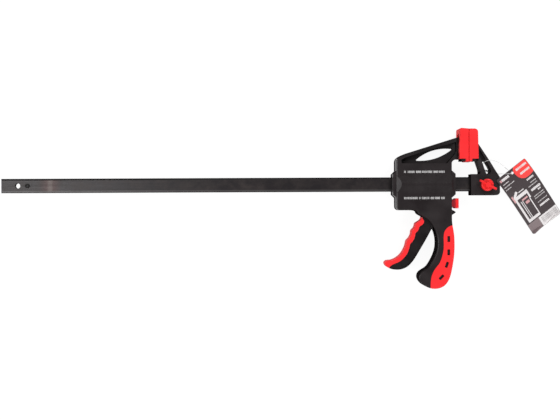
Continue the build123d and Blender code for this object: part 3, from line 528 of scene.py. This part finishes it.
def long_edge(_, normal):
    """The side finish, painted shade, for the bar's chamfers."""
    return SIDE if 0.3 < abs(normal.z) < 0.95 and abs(normal.y) > 0.3 else None


def stem(middle, _):
    """The side finish, painted shade, for the button's stem."""
    return SIDE if middle.x < BUTTON_CAP_LEFT else None


# finishes of each piece: face, broken edges, steep sides and sloping faces; all but the first are
# copies painted lighter or darker as highlight, light or shade
BLACK = (black_nylon, black_edge_highlight, black_shaded_side, black_lit_slope)
JAW_BLACK = (black_jaw, black_edge_highlight, black_shaded_side, black_lit_slope)
LEVER_BLACK = (black_lever, black_edge_highlight, black_shaded_side)
RUBBER_RED = (red_rubber, red_rubber, red_rubber_lit_side)
PLASTIC_RED = (red_plastic, red_plastic, red_plastic_shaded_side)
BAR_DARK = (bar_steel, bar_shaded_side, bar_shaded_side)
dress("shell_front", "front_shell", BLACK, 0.35, smooth=12.0, pick=rear_rim)
dress("shell_back", "back_shell", BLACK, 0.35, smooth=12.0)
dress("fixed_jaw", "jaw_casting", JAW_BLACK, 0.35, smooth=16.0, pick=arm_wall)
dress("trigger_lever", "lever", LEVER_BLACK, 0.4, smooth=20.0)
dress("trigger_face", "lever_face", RUBBER_RED, 0.7, segments=3)
dress("grip_inlay_front", "grip_skin_front", (red_rubber,), 0.3, smooth=20.0)
dress("grip_inlay_back", "grip_skin_back", (red_rubber,), 0.3, smooth=20.0)
dress("moving_jaw_pad", "moving_pad", RUBBER_RED, 0.4)
dress("fixed_jaw_pad", "fixed_pad", RUBBER_RED, 0.4)
dress("release_button", "button", PLASTIC_RED, 0.25, pick=stem)
dress("wing_knob", "knob", (red_plastic,), 0.3)
dress("bar", "steel_bar", BAR_DARK, 0.2, pick=long_edge)

# nodes that are shown as packed, with a finish each
for node, finish in (
    ("stop_pin", dark_pin), ("trigger_pin", bright_pin), ("drive_plate_left", plate_steel),
    ("drive_plate_right", plate_steel), ("brake_plate", plate_steel), ("shell_screws", zinc_steel),
    ("wing_stud", zinc_steel), ("jaw_nut", zinc_steel), ("loop_lock", clear_nylon),
    ("tag_card", card_dark),
):
    nodes[node].data.materials.clear()
    nodes[node].data.materials.append(finish)


# ---- trees for what repeats ---------------------------------------------------------------------
class Shapes(Nodes):
    """A Geometry Nodes tree with named inputs, applied to one mesh object."""

    def __init__(self, name, inputs):
        super().__init__(bpy.data.node_groups.new(name, "GeometryNodeTree"))
        self.identifiers = add_inputs(self.tree, inputs)
        self.tree.interface.new_socket(
            "Geometry", in_out="OUTPUT", socket_type="NodeSocketGeometry"
        )
        self.start = self.tree.nodes.new("NodeGroupInput").outputs
        self.end = self.tree.nodes.new("NodeGroupOutput").inputs

    def finish(self, geometry):
        """Ends the tree with real instances and its material."""
        real = self.node("GeometryNodeRealizeInstances", Geometry=geometry)
        painted = self.node(
            "GeometryNodeSetMaterial", Geometry=real.outputs[0], Material=self.start["Material"]
        )
        self.link(painted.outputs[0], self.end[0])

    def mesh(self, name, **values):
        """Mesh of the tree for these values."""
        holder = show(bpy.data.objects.new(name, bpy.data.meshes.new(name)))
        modifier = holder.modifiers.new("tree", "NODES")
        modifier.node_group = self.tree
        for label, value in values.items():
            modifier[self.identifiers[label]] = value
        made = evaluated_mesh(holder)
        bpy.data.objects.remove(holder)
        return made


# Row of small upright marks of uneven width, centred on its own origin.
mark_row = Shapes("mark_row", [
    ("Length", VALUE, 0.05), ("Height", VALUE, 0.003), ("Marks", INTEGER, 20),
    ("Thinnest", VALUE, 0.5), ("Widest", VALUE, 0.9), ("Seed", INTEGER, 1),
    ("Material", MATERIAL, None),
])
g = mark_row
pitch = g.maths("DIVIDE", g.start["Length"], g.start["Marks"])
first = g.maths("MULTIPLY", g.maths("SUBTRACT", pitch, g.start["Length"]), 0.5)
line = g.node(
    "GeometryNodeMeshLine", Count=g.start["Marks"],
    Start_Location=g.node("ShaderNodeCombineXYZ", X=first).outputs[0],
    Offset=g.node("ShaderNodeCombineXYZ", X=pitch).outputs[0],
)
share = g.node("FunctionNodeRandomValue", {"data_type": "FLOAT"}, Seed=g.start["Seed"])
g.link(g.start["Thinnest"], share.inputs[2])
g.link(g.start["Widest"], share.inputs[3])
width = g.maths("MULTIPLY", share.outputs[1], pitch)
scale = g.node("ShaderNodeCombineXYZ", X=width, Y=g.start["Height"], Z=1.0)
mark = g.node("GeometryNodeMeshGrid", Size_X=1.0, Size_Y=1.0, Vertices_X=2, Vertices_Y=2)
placed = g.node(
    "GeometryNodeInstanceOnPoints", Points=line.outputs[0], Instance=mark.outputs[0],
    Scale=scale.outputs[0],
)
g.finish(placed.outputs[0])

# Coil spring along X from its own origin, with its wire's ends capped.
coil = Shapes("coil", [
    ("Turns", VALUE, 8.0), ("Radius", VALUE, 0.01), ("Length", VALUE, 0.03),
    ("Wire", VALUE, 0.0007), ("Steps", INTEGER, 24), ("Material", MATERIAL, None),
])
g = coil
spiral = g.node(
    "GeometryNodeCurveSpiral", Resolution=g.start["Steps"], Rotations=g.start["Turns"],
    Start_Radius=g.start["Radius"], End_Radius=g.start["Radius"], Height=g.start["Length"],
)
turned = g.node(
    "GeometryNodeTransform", Geometry=spiral.outputs[0], Rotation=(0.0, pi / 2, 0.0)
)
round_wire = g.node("GeometryNodeCurvePrimitiveCircle", Resolution=10, Radius=g.start["Wire"])
swept = g.node(
    "GeometryNodeCurveToMesh", Curve=turned.outputs[0], Profile_Curve=round_wire.outputs[0],
    Fill_Caps=True,
)
g.finish(g.node("GeometryNodeSetShadeSmooth", Geometry=swept.outputs[0]).outputs[0])


def spring(node, wire, pitch, steps):
    """Coil in the place of a packed spring, along X, riding on the spring's body."""
    low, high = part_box(node)
    height = high.x - low.x - 2 * wire
    mesh = coil.mesh(
        node + "_coil", Turns=height / pitch, Radius=(high.z - low.z) / 2 - wire, Length=height,
        Wire=wire, Steps=steps, Material=spring_steel,
    )
    middle = (low + high) / 2
    mesh.transform(Matrix.Translation((low.x + wire, middle.y, middle.z)))
    made = new_object(node + "_coil", mesh, None, nodes[node]["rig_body"])
    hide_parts(node)
    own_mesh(made)


spring("drive_spring", 0.7 * MM, 4.6 * MM, 28)
spring("brake_spring", 0.4 * MM, 1.7 * MM, 24)


# ---- print on the body and on the tag -----------------------------------------------------------
def surface_of(node):
    """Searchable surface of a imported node."""
    mesh = nodes[node].data
    faces = [face.vertices for face in mesh.polygons]
    return BVHTree.FromPolygons([vert.co for vert in mesh.vertices], faces)


body_face = surface_of("shell_front")
card_face = surface_of("tag_card")
TAG = at(35.9, 4.5)                         # the tag's left upper corner
TAG_ANGLE = radians(38.1)
TAG_WIDE = Vector((cos(TAG_ANGLE), sin(TAG_ANGLE), 0.0))
TAG_DOWN = Vector((sin(TAG_ANGLE), -cos(TAG_ANGLE), 0.0))
ABOVE_ALL = 0.06
CUT_STEP = 4 * MM                           # a print bends to its surface at these steps
LAST_CUT = 0.5 * MM
INK = 0.03 * MM


def on_body(x, y):
    """Place on the body of a point of its print."""
    return at(x / MM, y / MM)


def on_tag(x, y):
    """Place on the tag of a point of its print, from its left upper corner."""
    return TAG + TAG_WIDE * x + TAG_DOWN * y


def lay(mesh, place, surface, lift):
    """Lays a flat mesh on a surface seen from above and gives it the thickness of a print."""
    work = bmesh.new()
    work.from_mesh(mesh)
    low = min(vert.co.y for vert in work.verts)
    high = max(vert.co.y for vert in work.verts)
    cut = low + CUT_STEP
    while cut < high - LAST_CUT:
        whole = work.verts[:] + work.edges[:] + work.faces[:]
        bmesh.ops.bisect_plane(work, geom=whole, plane_co=(0, cut, 0), plane_no=(0, 1, 0))
        cut += CUT_STEP
    for vert in work.verts:
        spot = place(vert.co.x, vert.co.y)
        above = Vector((spot.x, spot.y, ABOVE_ALL))
        hit = surface.ray_cast(above, Vector((0, 0, -1)))[0] or surface.find_nearest(above)[0]
        vert.co = Vector((spot.x, spot.y, hit.z + lift * MM))
    for face in work.faces:
        face.normal_update()
        if face.normal.z < 0:
            face.normal_flip()
    top = bmesh.ops.extrude_face_region(work, geom=work.faces[:])
    for vert in (item for item in top["geom"] if isinstance(item, bmesh.types.BMVert)):
        vert.co.z += INK
    bmesh.ops.recalc_face_normals(work, faces=work.faces[:])
    work.to_mesh(mesh)
    work.free()
    return mesh


def joined(meshes):
    """One mesh out of several."""
    work = bmesh.new()
    for mesh in meshes:
        work.from_mesh(mesh)
    made = bpy.data.meshes.new("joined")
    work.to_mesh(made)
    work.free()
    return made


def row(seed, x0, x1, y, height, marks, thinnest=0.4, widest=0.8):
    """Flat row of marks between x0 and x1, all in millimetres."""
    mesh = mark_row.mesh(
        "row", Length=(x1 - x0) * MM, Height=height * MM, Marks=marks, Seed=seed,
        Thinnest=thinnest, Widest=widest,
    )
    mesh.transform(Matrix.Translation(((x0 + x1) / 2 * MM, y * MM, 0.0)))
    return mesh


def patch(*points):
    """Flat panel with this outline, in millimetres."""
    corners = [Vector((x * MM, y * MM, 0.0)) for x, y in points]
    mesh = bpy.data.meshes.new("patch")
    mesh.from_pydata(corners, [], geometry.tessellate_polygon([corners]))
    return mesh


def block(x0, x1, y0, y1):
    """Flat rectangular panel, in millimetres."""
    return patch((x0, y0), (x1, y0), (x1, y1), (x0, y1))


def printed(name, meshes, place, surface, finish, body, lift):
    """One piece of print out of flat meshes, lift millimetres over a surface."""
    laid = [lay(mesh, place, surface, lift) for mesh in meshes]
    new_object(name, joined(laid), finish, body)


def tag_print(name, meshes, finish, lift):
    """One piece of print on the tag."""
    printed(name, meshes, on_tag, card_face, finish, "bar", lift)


# two rows of plain marks on the body; a word is its left and right end, its middle's height, the
# height of its marks and their number
UPPER_ROW = 16.25
LOWER_ROW = -18.35
BODY_LETTERS = 2.9
body_words = (
    (-86.4, -83.6, UPPER_ROW, BODY_LETTERS, 2), (-81.6, -72.2, UPPER_ROW, BODY_LETTERS, 8),
    (-70.6, -64.0, UPPER_ROW, BODY_LETTERS, 5), (-62.9, -49.0, UPPER_ROW, BODY_LETTERS, 11),
    (-47.6, -41.6, UPPER_ROW, BODY_LETTERS, 5), (-40.6, -32.4, UPPER_ROW, BODY_LETTERS, 6),
    (-86.4, -68.2, LOWER_ROW, BODY_LETTERS, 14), (-66.9, -64.4, LOWER_ROW, BODY_LETTERS, 2),
    (-63.0, -53.0, LOWER_ROW, BODY_LETTERS, 8), (-51.4, -46.8, LOWER_ROW, BODY_LETTERS, 4),
    (-45.9, -38.9, LOWER_ROW, BODY_LETTERS, 6), (-37.6, -32.6, LOWER_ROW, BODY_LETTERS, 4),
)
printed(
    "body_marks", [row(seed, *word) for seed, word in enumerate(body_words, 1)],
    on_body, body_face, print_white, "pistol_body", 0.02,
)

# the tag: one panel of each colour, and rows of plain marks where a real one has its small print
SMALL = 1.1
HEADING = (0.75, 0.98)                      # share of its place that a mark fills
HEAVY = (0.8, 0.98)
ON_RED = (0.6, 0.95)
tag_words = (
    (28.4, 45.6, 5.6, 2.9, 9, *ON_RED), (30.2, 45.4, 13.2, 2.9, 8, *ON_RED),
    (5.2, 17.0, 5.3, 3.4, 6, *HEADING), (2.6, 12.3, 11.2, SMALL, 8),
    (2.2, 18.6, 15.3, SMALL, 13), (2.0, 11.0, 19.3, SMALL, 8),
    (32.4, 43.6, 25.2, 2.5, 6, *HEADING), (34.6, 43.6, 30.9, SMALL, 8),
    (29.2, 43.6, 34.5, SMALL, 12), (29.8, 44.6, 40.5, 3.3, 7, *HEAVY),
    (38.2, 43.0, 44.6, 2.1, 3, *HEADING), (28.6, 44.4, 49.8, SMALL, 13),
    (28.0, 44.2, 53.0, SMALL, 13), (28.6, 44.2, 59.4, SMALL, 13),
    (28.6, 44.2, 65.0, 2.6, 7, *HEAVY),
)
code_panel = block(18.1, 47.2, 77.2, 91.1)
# plain outline of a clamp round a block
clamp_drawing = [
    block(4.2, 7.0, 34.0, 75.2), block(7.0, 25.4, 34.4, 39.2), block(7.0, 23.6, 71.4, 75.2),
    block(23.0, 25.4, 39.2, 47.0), block(22.2, 23.6, 47.0, 71.4),
    patch((11.3, 27.4), (13.4, 30.6), (6.6, 35.6), (4.6, 33.2)), block(14.0, 22.6, 31.0, 32.2),
    block(9.6, 10.6, 44.0, 71.4), block(12.0, 12.8, 44.0, 71.4),
]
red_corner = patch(
    (27.9, 0.4), (47.2, 0.4), (47.2, 20.6), (40.5, 21.9), (34.8, 21.9), (31.4, 20.7),
    (28.4, 18.4), (26.4, 15.6), (25.2, 12.4), (24.6, 8.8), (24.6, 5.6), (25.4, 3.2), (26.5, 1.5),
)
tag_print("tag_red_panel", [red_corner], card_red, 0.03)
tag_print(
    "tag_white_marks",
    [row(seed, *word) for seed, word in enumerate(tag_words, 21)] + [code_panel, *clamp_drawing],
    card_white, 0.05,
)
tag_print(
    "tag_pink_marks",
    [
        row(41, 2.4, 5.0, 5.3, 3.4, 2, *HEAVY), block(12.6, 21.4, 42.2, 44.6),
        patch((2.0, 31.4), (4.2, 30.2), (4.6, 40.4), (2.6, 41.2)), block(15.0, 20.8, 47.6, 51.4),
    ],
    card_pink, 0.06,
)
tag_print("tag_grey_panel", [block(0.4, 17.8, 76.6, 91.1)], card_grey, 0.04)
tag_print("tag_code", [row(51, 21.0, 45.4, 83.6, 8.2, 15, 0.25, 0.6)], card_ash, 0.085)

# ---- floor, lights and world --------------------------------------------------------------------
FLOOR_HALF = 15
floor_mesh = bpy.data.meshes.new("floor")
floor_corners = [
    (x * FLOOR_HALF, y * FLOOR_HALF, 0) for x, y in ((-1, -1), (1, -1), (1, 1), (-1, 1))
]
floor_mesh.from_pydata(floor_corners, [], [(0, 1, 2, 3)])
floor = show(bpy.data.objects.new("floor", floor_mesh))
floor_paint = bpy.data.materials.new("floor_paint")
floor_paint.use_nodes = True
floor_paint.node_tree.nodes.clear()
t = Nodes(floor_paint.node_tree)
path = t.node("ShaderNodeLightPath").outputs
seen = t.maths("ADD", path["Is Camera Ray"], path["Is Glossy Ray"])
seen = t.maths("MINIMUM", t.maths("ADD", seen, path["Is Transmission Ray"]), 1.0)
paint = t.node("ShaderNodeBsdfDiffuse", Color=(0.45, 0.45, 0.45, 1))
faint = t.node("ShaderNodeBsdfDiffuse", Color=(0.1, 0.1, 0.1, 1))
glow = t.node("ShaderNodeEmission", Color=(1, 1, 1, 1), Strength=0.93)
both = t.node("ShaderNodeAddShader")
t.link(faint.outputs[0], both.inputs[0])
t.link(glow.outputs[0], both.inputs[1])
choice = t.node("ShaderNodeMixShader")
for socket, source in zip(choice.inputs, (seen, paint.outputs[0], both.outputs[0])):
    t.link(source, socket)
t.node("ShaderNodeOutputMaterial", Surface=choice.outputs[0])
floor_mesh.materials.append(floor_paint)


def lamp(name, place, target, size, power):
    """Square soft lamp at a place, turned towards a target."""
    data = bpy.data.lights.new(name, "AREA")
    data.energy = power
    data.shape = "RECTANGLE"
    data.size = size
    data.size_y = size
    made = show(bpy.data.objects.new(name, data))
    made.location = place
    made.rotation_mode = "QUATERNION"
    made.rotation_quaternion = (Vector(target) - Vector(place)).to_track_quat("-Z", "Y")


lamp("over_left", (-0.8, 0.1, 1.45), (0.0, 0.0, 0.0), 0.7, 9.5)
lamp("low_left", (-1.35, -0.15, 0.5), (0.0, 0.0, 0.0), 0.6, 9.0)
lamp("front_right", (0.8, -1.2, 1.25), (0.05, 0.0, 0.0), 0.9, 21.0)
lamp("back_right", (0.85, 1.15, 1.25), (0.05, 0.0, 0.0), 0.9, 19.0)

world = bpy.data.worlds.new("world")
world.use_nodes = True
sky = world.node_tree.nodes["Background"].inputs
sky["Color"].default_value = (1.0, 1.0, 1.0, 1.0)
sky["Strength"].default_value = 0.12
bpy.context.scene.world = world
bpy.context.scene.view_settings.view_transform = "Standard"
